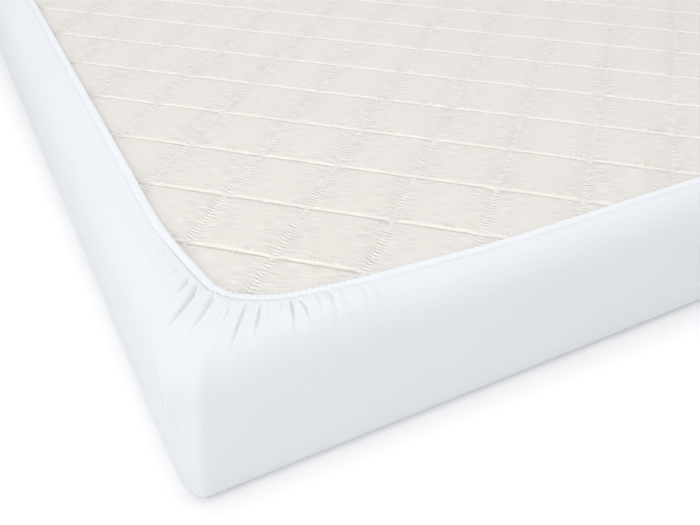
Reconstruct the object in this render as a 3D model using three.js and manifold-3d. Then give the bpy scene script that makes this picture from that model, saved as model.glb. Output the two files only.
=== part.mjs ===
// A jersey fitted sheet on the mattress that it fits. The mattress lies with its quilted underside
// up, so the sheet's sleeping panel is on the floor, its sides stand round the mattress and its
// gathered edge turns over onto the ticking, held by a sewn-on elastic binding.
//
// Millimetres, +Z up. The origin is on the floor under the middle of the mattress. X runs across
// the mattress and Y along it.

import * as THREE from 'three';
import Module from 'manifold-3d';
import { mergeVertices } from 'three/addons/utils/BufferGeometryUtils.js';

// ---------------------------------------------------------------- driving dimensions

const MATTRESS = { width: 1600, length: 2000, height: 180 };

// Rounding of the mattress: its upper edge along the sides and at the corners, its foot, and its
// upright corners seen from above.
const EDGE = { drop: 42, alongSides: 32, atCorners: 48, cornerSpan: 45 };
const FOOT_ROUND = 13;
const CORNER = { radiusTop: 34, radiusFoot: 24 };

// The quilting is a net of diamonds. Their diagonals run nearly along the mattress's sides.
const QUILTING = {
  halfDiagonalX: 78, halfDiagonalY: 73, turnedDegrees: 0.92,
  crossingX: -874, crossingY: -642, depth: 4.5, crownBelowEdge: 0.5, spareSteps: 3,
};

const CLOTH = { thickness: 2.5, easeAtSides: 2, easeAtMouth: 0.8, easeUnderMattress: 0.4 };
const BINDING = {
  width: 10, height: 5, aboveTicking: 0.4, gapToCloth: 0.3, sectionSides: 6, squareness: 0.7,
};

// The inner edge of the binding round one corner, measured from the mattress's upright sides:
// `x` in from the long side and `y` in from the short side. `along` is the length of the edge from
// the middle of the corner, and `side` is the length along the foot of the rounded upper edge that
// the cloth there comes from. Past both ends the edge is parallel to the side.
const MOUTH = [
  { along: -303, x: 69, y: 395, side: -387 },
  { along: -170, x: 69, y: 262, side: -251 },
  { along: -111, x: 74, y: 203, side: -187 },
  { along: -68, x: 80, y: 160, side: -140 },
  { along: -26, x: 87, y: 119, side: -78 },
  { along: -7, x: 96, y: 102, side: -26 },
  { along: 7, x: 105, y: 92, side: 18 },
  { along: 35, x: 129, y: 78, side: 79 },
  { along: 61, x: 154, y: 70, side: 126 },
  { along: 125, x: 218, y: 61, side: 202 },
  { along: 221, x: 313, y: 53, side: 301 },
  { along: 314, x: 406, y: 47, side: 396 },
  { along: 423, x: 515, y: 46, side: 507 },
];

// Creases of the gathers at one corner. `at` and `halfWidth` are lengths along the mouth, `depth`
// is the share of the puffed cloth that the crease takes away, and `reach` is how far it runs from
// the binding over the rounded edge, as a share of the way to the upright side.
const CREASES = [
  { at: -113, halfWidth: 10, depth: 0.4, reach: 0.5 },
  { at: -87, halfWidth: 9, depth: 0.5, reach: 0.6 },
  { at: -63, halfWidth: 9, depth: 0.6, reach: 0.6 },
  { at: -37, halfWidth: 10, depth: 1.0, reach: 1.0 },
  { at: -16, halfWidth: 8, depth: 0.8, reach: 0.6 },
  { at: 4, halfWidth: 6, depth: 0.5, reach: 0.45 },
  { at: 19, halfWidth: 8, depth: 0.9, reach: 0.85 },
  { at: 34, halfWidth: 7, depth: 0.7, reach: 0.6 },
  { at: 56, halfWidth: 8, depth: 0.8, reach: 0.7 },
  { at: 70, halfWidth: 7, depth: 0.8, reach: 0.65 },
  { at: 87, halfWidth: 7, depth: 0.55, reach: 0.55 },
  { at: 103, halfWidth: 7, depth: 0.6, reach: 0.6 },
  { at: 131, halfWidth: 10, depth: 0.45, reach: 0.5 },
];
const GATHERS = { height: 5, fullFrom: -95, fullTo: 110, fade: 70, sharpness: 1.3, fadeFrom: 0.6 };

// The four corners, as the side of the middle that each is on. Each has its gathers moved a little
// along the mouth and made fuller or flatter, as no two corners are pulled on alike.
const CORNERS = [
  { x: -1, y: -1, gathersMoved: 0, fullness: 1 },
  { x: 1, y: -1, gathersMoved: 6, fullness: 0.85 },
  { x: 1, y: 1, gathersMoved: -5, fullness: 0.95 },
  { x: -1, y: 1, gathersMoved: 9, fullness: 0.8 },
];

// Rows of cloth from the upright side to the mouth. `rise` is the slope of the surface in degrees,
// 0 upright and 90 level, `flat` is the share of the level strip between the rounded edge and the
// mouth, `share` is the way left to the upright side and `puff` is the share of the gathers' height.
const EDGE_ROWS = [
  { rise: 0, flat: 0, share: 1, puff: 0 },
  { rise: 22, flat: 0, share: 0.84, puff: 0.12 },
  { rise: 45, flat: 0, share: 0.68, puff: 0.4 },
  { rise: 67, flat: 0, share: 0.5, puff: 0.75 },
  { rise: 90, flat: 0, share: 0.3, puff: 1 },
  { rise: 90, flat: 0.55, share: 0.14, puff: 0.9 },
  { rise: 90, flat: 1, share: 0, puff: 0.35 },
];

// Rows from the floor to the upright side: the fall of the surface in degrees, 90 level and facing
// down, and 0 upright.
const FOOT_FALLS = [90, 60, 30, 0];

// Where the points between the gathers and the middles of the sides stand, as lengths from the
// middle of the corner: those of the plain rows along the mattress's side, and those of the
// gathered rows along the mouth.
const CORNER_STEPS = 8;
const SMALLEST_CREST = 4;
const SMALLEST_STEP = 1e-6;
const PLAIN_ALONG_LONG_SIDE = [-620, -300, -170, -120, -75];
const PLAIN_ALONG_SHORT_SIDE = [75, 120, 170, 300, 540];
const MOUTH_ALONG_LONG_SIDE = [-560, -303, -225, -170];
const MOUTH_ALONG_SHORT_SIDE = [170, 221, 314, 423, 560];

const COLOURS = { cloth: 0xeff2f8, binding: 0xf6f8fc, ticking: 0xe6e2db };

// ---------------------------------------------------------------- heights worked out from them

const MATTRESS_BOTTOM = CLOTH.thickness + CLOTH.easeUnderMattress;
const MATTRESS_TOP = MATTRESS_BOTTOM + MATTRESS.height;
const HALF_WIDTH = MATTRESS.width / 2;
const HALF_LENGTH = MATTRESS.length / 2;
const HALF_ARC = CORNER.radiusTop * Math.PI / 4;

// ---------------------------------------------------------------- small helpers

const { clamp, degToRad, lerp, smoothstep } = THREE.MathUtils;

// Value of one column of a table at a place along it, on a smooth curve through the rows: each
// stretch is a cubic whose end slopes are those between the neighbouring rows.
function valueAt(table, column, place) {
  const last = table.length - 1;
  const passed = table.filter((row) => row.along <= place).length;
  const i = clamp(passed - 1, 0, last - 1);
  const slope = (k) => {
    const a = table[Math.max(k - 1, 0)];
    const b = table[Math.min(k + 1, last)];
    return (b[column] - a[column]) / (b.along - a.along);
  };
  const [from, to] = [table[i], table[i + 1]];
  const span = to.along - from.along;
  const t = (place - from.along) / span;
  const [t2, t3] = [t * t, t * t * t];
  return (2 * t3 - 3 * t2 + 1) * from[column] + (t3 - 2 * t2 + t) * span * slope(i)
    + (3 * t2 - 2 * t3) * to[column] + (t3 - t2) * span * slope(i + 1);
}

// A point of the binding's inner edge, in from the long side (x) and from the short side (y), and
// the length along the side that belongs to it.
function mouthAt(place) {
  const [first, last] = [MOUTH[0], MOUTH[MOUTH.length - 1]];
  if (place < first.along) {
    const extra = first.along - place;
    return { x: first.x, y: first.y + extra, side: first.side - extra };
  }
  if (place > last.along) {
    const extra = place - last.along;
    return { x: last.x + extra, y: last.y, side: last.side + extra };
  }
  const [x, y, side] = ['x', 'y', 'side'].map((column) => valueAt(MOUTH, column, place));
  return { x, y, side };
}

// The place along the mouth whose cloth comes from a given length along the side, by halving.
function mouthPlaceOf(side) {
  let [low, high] = [-HALF_LENGTH, HALF_LENGTH];
  while (high - low > SMALLEST_STEP) {
    const middle = (low + high) / 2;
    if (mouthAt(middle).side < side) low = middle;
    else high = middle;
  }
  return (low + high) / 2;
}

// A point on a rectangle with round corners, `inset` in from the mattress's sides, and the
// direction out of it there. Both are measured from the corner, x and y growing inwards.
function ringAt(side, inset, radius) {
  const turn = (clamp(side / HALF_ARC, -1, 1) + 1) * Math.PI / 4;
  const out = { x: -Math.cos(turn), y: -Math.sin(turn) };
  const centre = inset + radius;
  const point = { x: centre + radius * out.x, y: centre + radius * out.y, out };
  const past = Math.abs(side) - HALF_ARC;
  if (past > 0) {
    const half = side < 0 ? HALF_LENGTH : HALF_WIDTH;
    const run = past * (half - centre) / (half - CORNER.radiusTop);
    if (side < 0) point.y += run;
    else point.x += run;
  }
  return point;
}

// ---------------------------------------------------------------- the shape under the cloth

const LEVEL_ROW = EDGE_ROWS[EDGE_ROWS.length - 1];

// A point of the mattress's rounded upper edge and of the level strip up to `mouthInset` short of
// the binding's inner edge. Going in from the side, the surface is a quarter of an ellipse and then
// level. `out` and `up` are its outward direction.
function edgeAt(place, row, mouthInset) {
  const mouth = mouthAt(place);
  const foot = ringAt(mouth.side, 0, CORNER.radiusTop);
  const reach = Math.hypot(mouth.x - foot.x, mouth.y - foot.y);
  const out = { x: (foot.x - mouth.x) / reach, y: (foot.y - mouth.y) / reach };
  const cornerShare = 1 - smoothstep(Math.abs(place), 0, EDGE.cornerSpan);
  const round = lerp(EDGE.alongSides, EDGE.atCorners, cornerShare);
  const rise = degToRad(row.rise);
  const level = (reach - mouthInset - round) * row.flat;
  const inwards = round * (1 - Math.cos(rise)) + level;
  return {
    x: foot.x - out.x * inwards,
    y: foot.y - out.y * inwards,
    z: MATTRESS_TOP - EDGE.drop * (1 - Math.sin(rise)),
    out: { x: out.x * Math.cos(rise), y: out.y * Math.cos(rise) },
    up: Math.sin(rise),
  };
}

// A point of the mattress's rounded foot, whose upright corners are tighter than at the top.
function footAt(place, fall) {
  const angle = degToRad(fall);
  const inset = FOOT_ROUND * (1 - Math.cos(angle));
  const point = ringAt(mouthAt(place).side, inset, CORNER.radiusFoot - inset);
  return {
    x: point.x,
    y: point.y,
    z: MATTRESS_BOTTOM + FOOT_ROUND * (1 - Math.sin(angle)),
    out: { x: point.out.x * Math.cos(angle), y: point.out.y * Math.cos(angle) },
    up: -Math.sin(angle),
  };
}

// The point moved off the surface, by one distance sideways and another up or down.
function offSurface(point, sideways, upright) {
  return {
    x: point.x + point.out.x * sideways,
    y: point.y + point.out.y * sideways,
    z: point.z + point.up * upright,
  };
}

// ---------------------------------------------------------------- gathers

// How far the puffed cloth stands up at a place along the mouth: a bell over the corner, with each
// crease taking a valley out of it that fades along its reach.
function gatherLift(place, row, corner) {
  const moved = place - corner.gathersMoved;
  const zone = smoothstep(moved, GATHERS.fullFrom - GATHERS.fade, GATHERS.fullFrom)
    * (1 - smoothstep(moved, GATHERS.fullTo, GATHERS.fullTo + GATHERS.fade));
  let creased = 0;
  for (const crease of CREASES) {
    const off = Math.abs(moved - crease.at) / crease.halfWidth;
    const valley = Math.max(0, 1 - off) ** GATHERS.sharpness;
    const fading = 1 - smoothstep(row.share, crease.reach * GATHERS.fadeFrom, crease.reach);
    creased = Math.max(creased, crease.depth * valley * fading);
  }
  return GATHERS.height * corner.fullness * row.puff * zone * (1 - creased);
}

// ---------------------------------------------------------------- stations round the mattress

// Places along the mouth for the gathered rows of one corner: every crease, and what lies between
// two creases, as one point where they are close and two where they are apart.
function gatheredPlaces(corner) {
  const places = [];
  CREASES.forEach((crease, i) => {
    places.push(crease.at);
    const next = CREASES[i + 1];
    if (!next) return;
    if (next.at - crease.at > crease.halfWidth + next.halfWidth + SMALLEST_CREST) {
      places.push(crease.at + crease.halfWidth, next.at - next.halfWidth);
    } else {
      places.push((crease.at + next.at) / 2);
    }
  });
  const [first, last] = [CREASES[0], CREASES[CREASES.length - 1]];
  const creased = [first.at - first.halfWidth, ...places, last.at + last.halfWidth];
  const moved = creased.map((place) => place + corner.gathersMoved);
  return [...MOUTH_ALONG_LONG_SIDE, ...moved, ...MOUTH_ALONG_SHORT_SIDE];
}

// Places for the plain rows, even round the upright corner.
function plainPlaces() {
  const round = Array.from(
    { length: CORNER_STEPS + 1 },
    (_, i) => lerp(-HALF_ARC, HALF_ARC, i / CORNER_STEPS),
  );
  return [...PLAIN_ALONG_LONG_SIDE, ...round, ...PLAIN_ALONG_SHORT_SIDE].map(mouthPlaceOf);
}

// Lengths along the side at the middles of a long and a short side.
const MIDDLE_OF_LONG_SIDE = -(HALF_LENGTH - CORNER.radiusTop + HALF_ARC);
const MIDDLE_OF_SHORT_SIDE = HALF_WIDTH - CORNER.radiusTop + HALF_ARC;

// One closed row right round the mattress, counter-clockwise from above. Each quarter starts at the
// middle of a side, and the quarters at two of the corners run from the short side to the long one.
// `turn` counts the quarters gone through, so that rows of different counts can be joined.
function ringOf(placesOf, pointOf) {
  const ring = [];
  CORNERS.forEach((corner, quarter) => {
    const fromLongSide = corner.x === corner.y;
    const places = fromLongSide ? placesOf(corner) : placesOf(corner).reverse();
    const start = mouthPlaceOf(fromLongSide ? MIDDLE_OF_LONG_SIDE : MIDDLE_OF_SHORT_SIDE);
    for (const place of [start, ...places]) {
      const point = pointOf(place, corner);
      const share = (mouthAt(place).side - MIDDLE_OF_LONG_SIDE)
        / (MIDDLE_OF_SHORT_SIDE - MIDDLE_OF_LONG_SIDE);
      ring.push({
        point: new THREE.Vector3(
          corner.x * (HALF_WIDTH - point.x),
          corner.y * (HALF_LENGTH - point.y),
          point.z,
        ),
        turn: quarter + (fromLongSide ? share : 1 - share),
      });
    }
  });
  return ring;
}

// ---------------------------------------------------------------- meshes

// A mesh builder that joins closed rows of points. Rows of different counts are joined by always
// stepping on in the row that is behind.
class Shell {
  constructor() {
    this.positions = [];
    this.triangles = [];
  }

  addPoint(v) {
    this.positions.push(v.x, v.y, v.z);
    return this.positions.length / 3 - 1;
  }

  addRow(ring) {
    return ring.map(({ point, turn }) => ({ index: this.addPoint(point), turn }));
  }

  join(low, high) {
    let [i, j] = [0, 0];
    while (i < low.length || j < high.length) {
      const a = low[i % low.length].index;
      const b = high[j % high.length].index;
      const lowNext = low[i + 1]?.turn ?? CORNERS.length;
      const highNext = high[j + 1]?.turn ?? CORNERS.length;
      if (j >= high.length || (i < low.length && lowNext <= highNext)) {
        this.triangles.push(a, low[(i + 1) % low.length].index, b);
        i += 1;
      } else {
        this.triangles.push(a, high[(j + 1) % high.length].index, b);
        j += 1;
      }
    }
  }

  // A level lid over the last row or under the first, as a fan from a middle point.
  lid(row, z, facesUp) {
    const middle = this.addPoint(new THREE.Vector3(0, 0, z));
    row.forEach(({ index }, i) => {
      const next = row[(i + 1) % row.length].index;
      if (facesUp) this.triangles.push(middle, index, next);
      else this.triangles.push(middle, next, index);
    });
  }

  geometry() {
    const geometry = new THREE.BufferGeometry();
    geometry.setAttribute('position', new THREE.Float32BufferAttribute(this.positions, 3));
    geometry.setIndex(this.triangles);
    return geometry;
  }
}

const wasm = await Module();
wasm.setup();

function solidOf(geometry) {
  const merged = mergeVertices(geometry);
  return new wasm.Manifold(new wasm.Mesh({
    numProp: 3,
    vertProperties: new Float32Array(merged.attributes.position.array),
    triVerts: new Uint32Array(merged.index.array),
  }));
}

function geometryOf(solid) {
  const { vertProperties, triVerts } = solid.getMesh();
  const geometry = new THREE.BufferGeometry();
  geometry.setAttribute('position', new THREE.BufferAttribute(vertProperties, 3));
  geometry.setIndex(new THREE.BufferAttribute(triVerts, 1));
  return geometry;
}

function meshOf(name, geometry, colour, roughness) {
  geometry.computeVertexNormals();
  const material = new THREE.MeshStandardMaterial({ color: colour, roughness, metalness: 0 });
  const mesh = new THREE.Mesh(geometry, material);
  mesh.name = name;
  return mesh;
}

// ---------------------------------------------------------------- mattress

// The plain block: foot, upright sides and rounded upper edge, closed by a lid that stands a little
// above the ticking.
function mattressBlock() {
  const shell = new Shell();
  const lidHeight = MATTRESS_TOP + QUILTING.depth;
  const rows = [
    ...FOOT_FALLS.map((fall) => ringOf(plainPlaces, (place) => footAt(place, fall))),
    ...EDGE_ROWS.filter((row) => row.flat === 0)
      .map((row) => ringOf(plainPlaces, (place) => edgeAt(place, row, 0))),
    ringOf(plainPlaces, (place) => ({ ...edgeAt(place, LEVEL_ROW, 0), z: lidHeight })),
  ].map((ring) => shell.addRow(ring));
  rows.slice(1).forEach((row, i) => shell.join(rows[i], row));
  shell.lid(rows[0], MATTRESS_BOTTOM, false);
  shell.lid(rows[rows.length - 1], lidHeight, true);
  return solidOf(shell.geometry());
}

// A slab whose top is the quilted ticking. The net's crossings, the middles of its stitched lines
// and the quarter points of each diamond are the points of one grid. Each diamond is a cushion that
// falls to the stitched lines round it.
function quiltedSlab() {
  const { halfDiagonalX, halfDiagonalY, turnedDegrees, crossingX, crossingY } = QUILTING;
  const turned = degToRad(turnedDegrees);
  const [stepX, stepY] = [halfDiagonalX / 2, halfDiagonalY / 2];
  const firstColumn = Math.floor((-HALF_WIDTH - crossingX) / stepX) - QUILTING.spareSteps;
  const lastColumn = Math.ceil((HALF_WIDTH - crossingX) / stepX) + QUILTING.spareSteps;
  const firstRow = Math.floor((-HALF_LENGTH - crossingY) / stepY) - QUILTING.spareSteps;
  const lastRow = Math.ceil((HALF_LENGTH - crossingY) / stepY) + QUILTING.spareSteps;
  const columns = lastColumn - firstColumn + 1;
  const top = MATTRESS_TOP - QUILTING.crownBelowEdge;

  const shell = new Shell();
  const floor = MATTRESS_BOTTOM - FOOT_ROUND;
  for (const [ticking, height] of [[true, top], [false, floor]]) {
    for (let row = firstRow; row <= lastRow; row += 1) {
      for (let column = firstColumn; column <= lastColumn; column += 1) {
        const [u, v] = [(column + row) / 4, (column - row) / 4];
        const cushion = Math.sqrt(Math.abs(Math.sin(Math.PI * u) * Math.sin(Math.PI * v)));
        const [x, y] = [column * stepX, row * stepY];
        shell.addPoint(new THREE.Vector3(
          crossingX + x * Math.cos(turned) - y * Math.sin(turned),
          crossingY + x * Math.sin(turned) + y * Math.cos(turned),
          ticking ? height - QUILTING.depth * (1 - cushion) : height,
        ));
      }
    }
  }
  const rows = lastRow - firstRow + 1;
  const under = columns * rows;
  for (let row = 0; row < rows - 1; row += 1) {
    for (let column = 0; column < columns - 1; column += 1) {
      const a = row * columns + column;
      const [b, c, d] = [a + 1, a + columns + 1, a + columns];
      const rising = (column + firstColumn + row + firstRow) % 2 === 0;
      if (rising) shell.triangles.push(a, b, c, a, c, d);
      else shell.triangles.push(a, b, d, b, c, d);
      shell.triangles.push(under + a, under + c, under + b, under + a, under + d, under + c);
    }
  }
  const border = [
    ...Array.from({ length: columns - 1 }, (_, i) => i),
    ...Array.from({ length: rows - 1 }, (_, i) => (i + 1) * columns - 1),
    ...Array.from({ length: columns - 1 }, (_, i) => under - 1 - i),
    ...Array.from({ length: rows - 1 }, (_, i) => under - columns - i * columns),
  ];
  border.forEach((a, i) => {
    const b = border[(i + 1) % border.length];
    shell.triangles.push(a, under + a, b, b, under + a, under + b);
  });
  return solidOf(shell.geometry());
}

function makeMattress() {
  const solid = mattressBlock().intersect(quiltedSlab());
  return meshOf('mattress', geometryOf(solid), COLOURS.ticking, 0.9);
}

// ---------------------------------------------------------------- fitted sheet

const MOUTH_INSET = BINDING.width + BINDING.gapToCloth;

// The cloth's row over the mattress's upper edge, `layer` above its underside.
function edgeRow(row, layer, placesOf) {
  return ringOf(placesOf, (place, corner) => {
    const ease = lerp(CLOTH.easeAtSides, CLOTH.easeAtMouth, row.flat);
    const lift = ease + layer + gatherLift(place, row, corner);
    return offSurface(edgeAt(place, row, MOUTH_INSET), lift, lift);
  });
}

// The cloth's row round the mattress's foot.
function footRow(fall, layer) {
  return ringOf(plainPlaces, (place) => offSurface(
    footAt(place, fall),
    CLOTH.easeAtSides + layer,
    CLOTH.easeUnderMattress + layer,
  ));
}

// All rows of one face of the cloth, from the floor to the mouth.
function clothFace(layer) {
  const upright = EDGE_ROWS[0];
  return [
    ...FOOT_FALLS.map((fall) => footRow(fall, layer)),
    edgeRow(upright, layer, plainPlaces),
    ...EDGE_ROWS.slice(1).map((row) => edgeRow(row, layer, gatheredPlaces)),
  ];
}

function makeSheet() {
  const shell = new Shell();
  const outer = clothFace(CLOTH.thickness).map((ring) => shell.addRow(ring));
  const inner = clothFace(0).map((ring) => shell.addRow(ring)).reverse();
  const rows = [...outer, ...inner];
  rows.slice(1).forEach((row, i) => shell.join(rows[i], row));
  shell.lid(rows[0], 0, false);
  shell.lid(rows[rows.length - 1], CLOTH.thickness, true);
  return meshOf('fitted_sheet', shell.geometry(), COLOURS.cloth, 0.85);
}

// ---------------------------------------------------------------- elastic binding

// A bead with rounded edges that runs right round the mouth on the ticking. Its section is an
// ellipse made squarer.
function makeBinding() {
  const shell = new Shell();
  const middle = MATTRESS_TOP + BINDING.aboveTicking + BINDING.height / 2;
  const squarer = (value) => Math.sign(value) * Math.abs(value) ** BINDING.squareness;
  const rows = [];
  for (let i = 0; i < BINDING.sectionSides; i += 1) {
    const angle = 2 * Math.PI * (i + 0.5) / BINDING.sectionSides;
    const across = BINDING.width / 2 * (1 + squarer(Math.cos(angle)));
    const height = middle + BINDING.height / 2 * squarer(Math.sin(angle));
    rows.push(shell.addRow(ringOf(gatheredPlaces, (place) => {
      const edge = edgeAt(place, LEVEL_ROW, across);
      return { ...edge, z: height };
    })));
  }
  rows.forEach((row, i) => shell.join(row, rows[(i + 1) % rows.length]));
  return meshOf('elastic_binding', shell.geometry(), COLOURS.binding, 0.8);
}

// ---------------------------------------------------------------- the part

const part = new THREE.Group();
part.add(makeMattress(), makeSheet(), makeBinding());

export default part;
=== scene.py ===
"""A jersey fitted sheet on the mattress that it fits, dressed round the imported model.

The mattress lies with its quilted underside up. The sheet's sleeping panel is on the floor, its
sides stand round the mattress, and its gathered edge turns over onto the ticking, where a sewn-on
elastic binding holds it. Metres, +Z up, X across the mattress and Y along it.
"""

import math

import bpy
import numpy as np
from mathutils import Matrix, Vector


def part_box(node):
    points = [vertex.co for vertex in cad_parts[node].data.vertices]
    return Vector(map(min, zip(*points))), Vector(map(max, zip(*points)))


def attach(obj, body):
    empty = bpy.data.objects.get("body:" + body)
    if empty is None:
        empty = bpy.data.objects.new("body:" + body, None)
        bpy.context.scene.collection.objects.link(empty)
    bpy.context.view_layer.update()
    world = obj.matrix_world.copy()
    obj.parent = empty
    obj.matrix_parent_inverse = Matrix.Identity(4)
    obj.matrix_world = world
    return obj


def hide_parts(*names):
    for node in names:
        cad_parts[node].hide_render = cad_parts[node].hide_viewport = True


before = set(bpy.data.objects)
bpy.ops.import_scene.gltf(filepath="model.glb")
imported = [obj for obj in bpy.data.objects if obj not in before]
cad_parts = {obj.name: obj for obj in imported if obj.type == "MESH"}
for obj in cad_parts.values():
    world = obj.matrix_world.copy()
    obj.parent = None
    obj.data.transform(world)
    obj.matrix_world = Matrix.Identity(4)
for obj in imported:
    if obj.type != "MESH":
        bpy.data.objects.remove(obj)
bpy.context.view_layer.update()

# ------------------------------------------------------------------ driving sizes

MATTRESS_HEIGHT = 0.180
MATTRESS_LOW, MATTRESS_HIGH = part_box("mattress")
HALF_WIDTH = MATTRESS_HIGH.x
HALF_LENGTH = MATTRESS_HIGH.y
BOTTOM = MATTRESS_LOW.z
TOP = BOTTOM + MATTRESS_HEIGHT

# Rounding of the mattress: its upper edge along the sides and at the corners, its foot, and its
# upright corners seen from above.
EDGE_DROP = 0.042
EDGE_ALONG_SIDES = 0.032
EDGE_AT_CORNERS = 0.048
EDGE_CORNER_SPAN = 0.045
FOOT_ROUND = 0.013
CORNER_RADIUS_TOP = 0.034
CORNER_RADIUS_FOOT = 0.024
HALF_ARC = CORNER_RADIUS_TOP * math.pi / 4

CLOTH_SOLID = 0.0025
CLOTH_THICKNESS = 0.0012
EASE_AT_SIDES = 0.002
EASE_AT_MOUTH = 0.0012
EASE_UNDER_MATTRESS = 0.0004

# The bead is a quarter wider than its solid.
BINDING_WIDTH = 0.0125
BINDING_HEIGHT = 0.005
BINDING_ABOVE_TICKING = 0.0004
BINDING_SQUARENESS = 0.7
CLOTH_UNDER_BINDING = 0.0006
CLOTH_END = BINDING_WIDTH - CLOTH_UNDER_BINDING

# The binding's inner edge round one corner, measured from the mattress's upright sides: the length
# along it from the middle of the corner, how far in from the long side and from the short side, and
# the length along the side that the cloth there comes from.
MOUTH = np.array([
    (-0.303, 0.069, 0.395, -0.387),
    (-0.170, 0.069, 0.262, -0.251),
    (-0.111, 0.074, 0.203, -0.187),
    (-0.068, 0.080, 0.160, -0.140),
    (-0.026, 0.087, 0.119, -0.078),
    (-0.007, 0.096, 0.102, -0.026),
    (0.007, 0.105, 0.092, 0.018),
    (0.035, 0.129, 0.078, 0.079),
    (0.061, 0.154, 0.070, 0.126),
    (0.125, 0.218, 0.061, 0.202),
    (0.221, 0.313, 0.053, 0.301),
    (0.314, 0.406, 0.047, 0.396),
    (0.423, 0.515, 0.046, 0.507),
])

# Creases of the gathers: the place along the mouth where each settles, how far from that it starts
# at the binding, the shares of the way over the edge where it starts and ends, half its width and
# its depth as a share of the puffed cloth.
CREASES = np.array([
    (-0.118, -0.020, 0.02, 0.34, 0.0036, 0.40),
    (-0.090, -0.024, 0.02, 0.32, 0.0034, 0.40),
    (-0.054, -0.028, 0.04, 0.30, 0.0026, 0.50),
    (-0.028, -0.031, 0.05, 0.24, 0.0020, 1.00),
    (-0.014, -0.028, 0.02, 0.70, 0.0021, 1.34),
    (-0.001, -0.015, 0.02, 0.34, 0.0018, 1.10),
    (0.0095, -0.006, 0.03, 0.24, 0.0016, 0.50),
    (0.019, 0.000, 0.03, 0.64, 0.0016, 1.00),
    (0.032, 0.000, 0.05, 0.50, 0.0018, 0.90),
    (0.0496, 0.000, 0.05, 0.26, 0.0016, 0.50),
    (0.058, 0.000, 0.07, 0.56, 0.0021, 0.90),
    (0.071, -0.009, 0.08, 0.56, 0.0021, 0.80),
    (0.084, 0.000, 0.05, 0.42, 0.0020, 0.50),
    (0.097, 0.000, 0.07, 0.52, 0.0022, 0.50),
    (0.113, 0.000, 0.04, 0.36, 0.0026, 0.38),
    (0.133, 0.000, 0.04, 0.34, 0.0030, 0.30),
])

# A crease's start settles over a share of the way, it runs in and on about that start, and it thins
# from a share of its length. Across, it has a narrow valley and wider, shallower shoulders.
CREASE_SETTLES = 0.14
CREASE_RUN_IN, CREASE_RUN_ON = 0.04, 0.05
CREASE_THINS_FROM = 0.3
MOST_SPREAD = 3.0
VALLEY_SHARE, VALLEY_SHARPNESS = 0.7, 2.0
SHOULDER_SHARE, SHOULDER_REACH, SHOULDER_POWER = 0.3, 2, 1.3
GATHER_HEIGHT = 0.006
GATHER_ZONE = (-0.165, -0.095, 0.110, 0.180)

# Tucks at the binding: their pitch and its drift, their depth and the sines that vary it, each as a
# share and a length along the mouth, and the shares of the way over the edge where they fade.
TUCK_ZONE = (-0.15, -0.06, 0.13, 0.24)
TUCK_PITCH = 0.0052
TUCK_DRIFT, TUCK_DRIFT_LENGTH = 1.1, 0.031
TUCK_SHARPNESS = 0.6
TUCK_DEPTH = 0.0011
TUCK_MEAN_SHARE = 0.55
TUCK_VARIES = ((0.3, 0.0173), (0.15, 0.041))
TUCK_FADES = (0.14, 0.36)

# Low waves that run on from the tucks: the length and the start of each, in radians.
WAVE_HEIGHT = 0.00035
WAVES = ((0.0118, 3), (0.0171, 0.5))
WAVE_FADES = (0.3, 0.8)

# The cloth's upright corner, seen from above: how far from the corner of its two faces it leaves
# the long and the short one, at the foot and at the top.
CORNER_LEGS_FOOT = (0.036, 0.016)
CORNER_LEGS_TOP = (0.021, 0.027)

# The power that merges the corner's faces, how much of the crisp shape is left at the foot, and how
# far the foot is drawn in, about which length along the side and over what span.
CORNER_CRISPNESS = 30
CORNER_CRISP_AT_FOOT = 0.45
FOOT_DRAWN_IN, FOOT_DRAWN_AT, FOOT_DRAWN_SPAN = 0.003, -0.030, 0.024

# The fold that runs from the corner's seam back along the upper edge, as the length along the side
# and the share of the way over the edge.
FOLD = np.array([(-0.059, 0.72), (-0.034, 0.76), (-0.019, 0.86), (-0.013, 1.00)])
FOLD_HEIGHT = 0.0030
FOLD_HALF_WIDTH = 0.005
FOLD_RUN_IN, FOLD_RUN_ON, FOLD_RUN_OUT = 0.012, 0.004, 0.010
LENGTH_OVER_EDGE = 0.095

# The corners, as the side of the middle that each is on, how far its gathers are moved along the
# mouth, how full they are, and how much coarser its points are.
CORNERS = np.array([
    (-1, -1, 0.000, 1.00, 1.0),
    (1, -1, 0.006, 0.85, 2.8),
    (1, 1, -0.005, 0.95, 2.8),
    (-1, 1, 0.009, 0.80, 2.8),
])

# Rows of cloth from the upright side to the mouth: the slope of the surface in degrees, the share
# of the level strip gone through, the share of the way left to the side, and that of the puff.
EDGE_ROWS = np.array([
    (0, 0.00, 1.00, 0.00),
    (22, 0.00, 0.84, 0.12),
    (45, 0.00, 0.68, 0.40),
    (67, 0.00, 0.50, 0.75),
    (90, 0.00, 0.30, 1.00),
    (90, 0.55, 0.14, 0.90),
    (90, 1.00, 0.00, 0.35),
])

# The net of diamonds in the ticking. Their diagonals run nearly along the mattress's sides.
DIAMOND_HALF_X = 0.078
DIAMOND_HALF_Y = 0.073
DIAMOND_TURN = math.radians(0.92)
DIAMOND_CROSSING = np.array([-0.874, -0.642])
CROWN_BELOW_EDGE = 0.0005
DIAMOND_WIDTH = 2 * DIAMOND_HALF_X * DIAMOND_HALF_Y / math.hypot(DIAMOND_HALF_X, DIAMOND_HALF_Y)

CAMERA_PLACE = Vector((-0.8854, -1.5198, 0.7088))
CAMERA_YAW, CAMERA_PITCH, CAMERA_ROLL = (math.radians(x) for x in (62.375, 37.315, 0.511))
CAMERA_LENS = 40.12
CAMERA_SENSOR = 36.0
CAMERA_CLIP = (0.05, 100)


# ------------------------------------------------------------------ small helpers

def smoothstep(x, low, high):
    """0 below low, 1 above high, and 3t^2 - 2t^3 of the share t between them."""
    t = np.clip((x - low) / (high - low), 0, 1)
    return t * t * (3 - 2 * t)


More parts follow.
